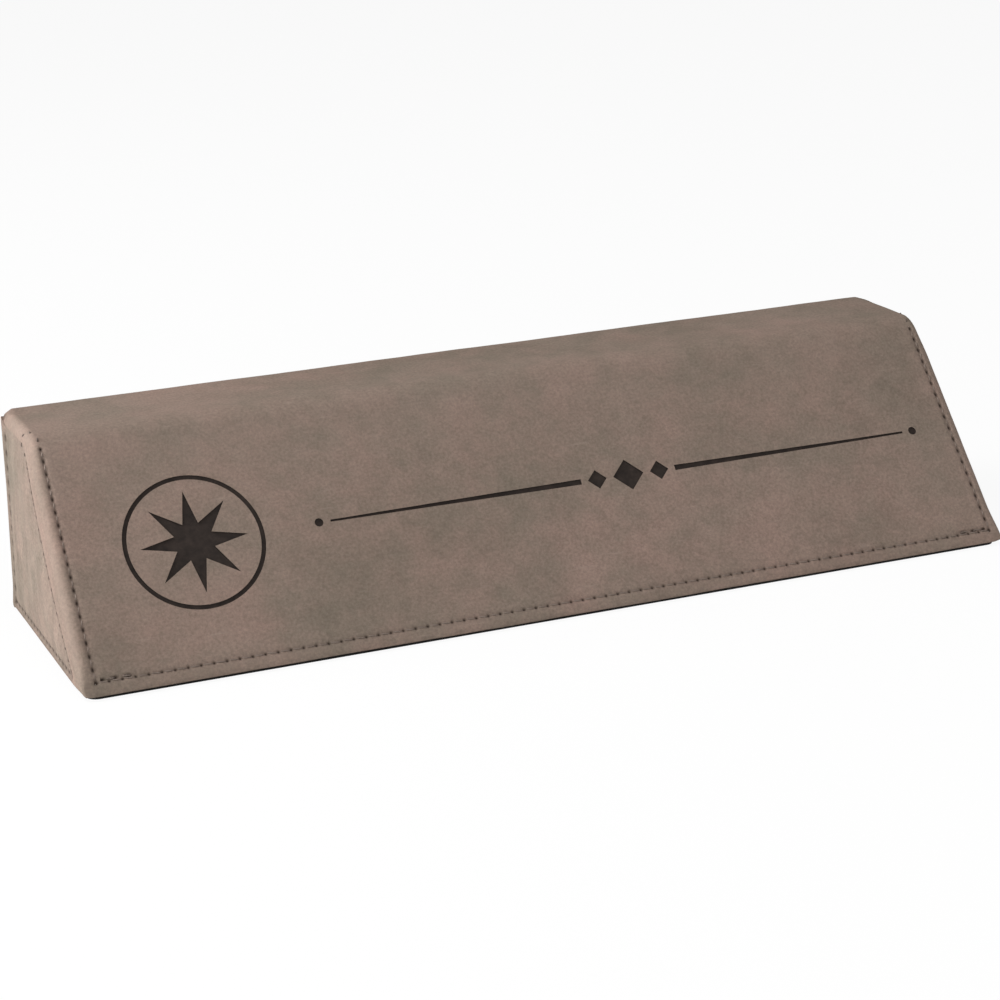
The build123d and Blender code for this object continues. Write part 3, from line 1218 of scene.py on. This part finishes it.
def shoulder_row(side):
    """Stitch places of the row that curls from the slope over the rolled rim onto an end."""
    start_across = rim_reach - row_margins_high[side]
    middle_across = (start_across + curl_reach) / 2
    sweep = (curl_reach - start_across) / 2
    places = []
    for index in range(curl_count):
        spots = []
        for share in (index / curl_count, (index + 0.5) / curl_count, (index + 1) / curl_count):
            angle = curl_turn * share
            run = row_high + curl_rise * math.sin(angle)
            spots.append(shoulder_point(run, middle_across - sweep * math.cos(angle)))
        (first, _), (middle, outward), (last, _) = spots
        heading = last - first
        heading -= outward * heading.dot(outward)
        places.append((middle - outward * curl_sink, heading, outward))
    if side < 0:
        flip = Vector((-1, 1, 1))
        places = [(middle * flip, heading * flip, outward * flip) for middle, heading, outward in places]
    return places


def bottom_places():
    """Stitch places of the bottom row, with a back-tack close above each of its ends."""
    places = slope_row((left_row_x, row_low), (right_row_x, row_low), bottom_count)
    tack_count = round(tack_length / bottom_pitch)
    for corner_x, inward in ((left_row_x, 1), (right_row_x, -1)):
        near = (corner_x + inward * tack_start, row_low + tack_offset)
        far = (corner_x + inward * (tack_start + tack_length), row_low + tack_offset)
        places += slope_row(near, far, tack_count)
    return places


def end_places(name, side):
    """Stitch places of one row on an end panel."""
    row = end_rows[name]
    count = end_counts[name]
    places = []
    for index in range(count):
        first = along_row(row, index / count)
        last = along_row(row, (index + 1) / count)
        middle = along_row(row, (index + 0.5) / count)
        middle.x = side * (half_length - end_thread_sinks[name])
        places.append((middle, last - first, Vector((side, 0, 0))))
    return places


bottom_stitch = stitch_mesh("bottom", bottom_pitch)
side_stitch = stitch_mesh("side", side_pitch)
curl_stitch = stitch_mesh("curl", side_pitch, curl_thread_width)
end_stitch = stitch_mesh("end", stitch_pitch)
for side, name in ((-1, "front_left"), (1, "front_right")):
    row = slope_row((row_x(side, row_low), row_low), (row_x(side, row_high), row_high), side_count)
    rows = [(side_stitch, row), (curl_stitch, shoulder_row(side))]
    lay_stitches(f"{name}_thread", f"{name}_stitching", rows)
lay_stitches("front_bottom_thread", "front_bottom_stitching", [(bottom_stitch, bottom_places())])
for end, side in (("left", -1), ("right", 1)):
    for name in end_rows:
        row_name = f"{end}_end_{name}"
        lay_stitches(f"{row_name}_thread", f"{row_name}_stitching", [(end_stitch, end_places(name, side))])
for mesh in (bottom_stitch, side_stitch, curl_stitch, end_stitch):
    bpy.data.meshes.remove(mesh)

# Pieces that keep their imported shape
for name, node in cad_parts.items():
    if name.endswith("_board") or name == "base_pad":
        node.data.materials.clear()
        node.data.materials.append(felt if name == "base_pad" else greyboard)


# Floor, light and camera


floor_reach = 6.0
floor_colour = (0.93, 0.93, 0.93, 1.0)
floor_glow = 0.92
floor_drop = 0.0001
world_strength = 0.12
plate_middle = (0, 0, 0.03)


def floor():
    """Pale floor, shown nearly white and keeping a soft shadow."""
    bm = bmesh.new()
    bmesh.ops.create_grid(bm, x_segments=1, y_segments=1, size=floor_reach)
    bmesh.ops.translate(bm, vec=(0, 0, cad_low.z - floor_drop), verts=bm.verts)
    material = bpy.data.materials.new("pale_floor")
    material.use_nodes = True
    tree = material.node_tree
    shader = tree.nodes["Principled BSDF"]
    shader.inputs["Base Color"].default_value = floor_colour
    shader.inputs["Roughness"].default_value = 0.9
    glow = tree.nodes.new("ShaderNodeEmission")
    glow.inputs["Strength"].default_value = 1.0
    rays = tree.nodes.new("ShaderNodeLightPath")
    seen = [rays.outputs[name] for name in ("Is Camera Ray", "Is Glossy Ray", "Is Transmission Ray")]
    blend = tree.nodes.new("ShaderNodeMixShader")
    tree.links.new(summed(tree, [(ray, floor_glow) for ray in seen]), blend.inputs["Fac"])
    tree.links.new(shader.outputs["BSDF"], blend.inputs[1])
    tree.links.new(glow.outputs["Emission"], blend.inputs[2])
    tree.links.new(blend.outputs["Shader"], tree.nodes["Material Output"].inputs["Surface"])
    add_object("floor", bm, [material])


def area_light(name, place, target, size, power):
    """Soft rectangular lamp aimed at a point."""
    lamp = bpy.data.lights.new(name, "AREA")
    lamp.shape = "RECTANGLE"
    lamp.size, lamp.size_y = size
    lamp.energy = power
    holder = bpy.data.objects.new(name, lamp)
    holder.location = place
    holder.rotation_euler = (Vector(target) - Vector(place)).to_track_quat("-Z", "Y").to_euler()
    bpy.context.scene.collection.objects.link(holder)


def surroundings():
    """Even pale light from all round."""
    world = bpy.data.worlds.new("studio")
    world.use_nodes = True
    shade = world.node_tree.nodes["Background"]
    shade.inputs["Color"].default_value = (1.0, 1.0, 1.0, 1.0)
    shade.inputs["Strength"].default_value = world_strength
    bpy.context.scene.world = world


def photo_camera():
    """Camera at the photograph's viewing angle."""
    place = (-0.26760, -0.65840, 0.24292)
    yaw = math.radians(21.81)
    pitch = math.radians(17.24)
    roll = math.radians(-2.06)
    ahead = Vector((math.sin(yaw) * math.cos(pitch), math.cos(yaw) * math.cos(pitch), -math.sin(pitch)))
    level = Vector((math.cos(yaw), -math.sin(yaw), 0))
    upright = level.cross(ahead)
    right = level * math.cos(roll) + upright * math.sin(roll)
    up = upright * math.cos(roll) - level * math.sin(roll)
    camera = bpy.data.cameras.new("photo_camera")
    camera.sensor_width = 36
    camera.lens = 96.53
    holder = bpy.data.objects.new("photo_camera", camera)
    turn = Matrix((right, up, -ahead)).transposed().to_4x4()
    holder.matrix_world = Matrix.Translation(place) @ turn
    bpy.context.scene.collection.objects.link(holder)
    bpy.context.scene.camera = holder


floor()
surroundings()
area_light("left_softbox", place=(-1.5, 0.25, 0.43), target=plate_middle, size=(1.0, 0.6), power=25)
area_light("top_softbox", place=(-0.65, 0.2, 0.95), target=(-0.05, 0, 0.03), size=(0.8, 0.6), power=7.4)
area_light("front_softbox", place=(0.3, -1.1, 1.0), target=plate_middle, size=(0.9, 0.6), power=8.6)
photo_camera()
bpy.context.scene.view_settings.view_transform = "Standard"
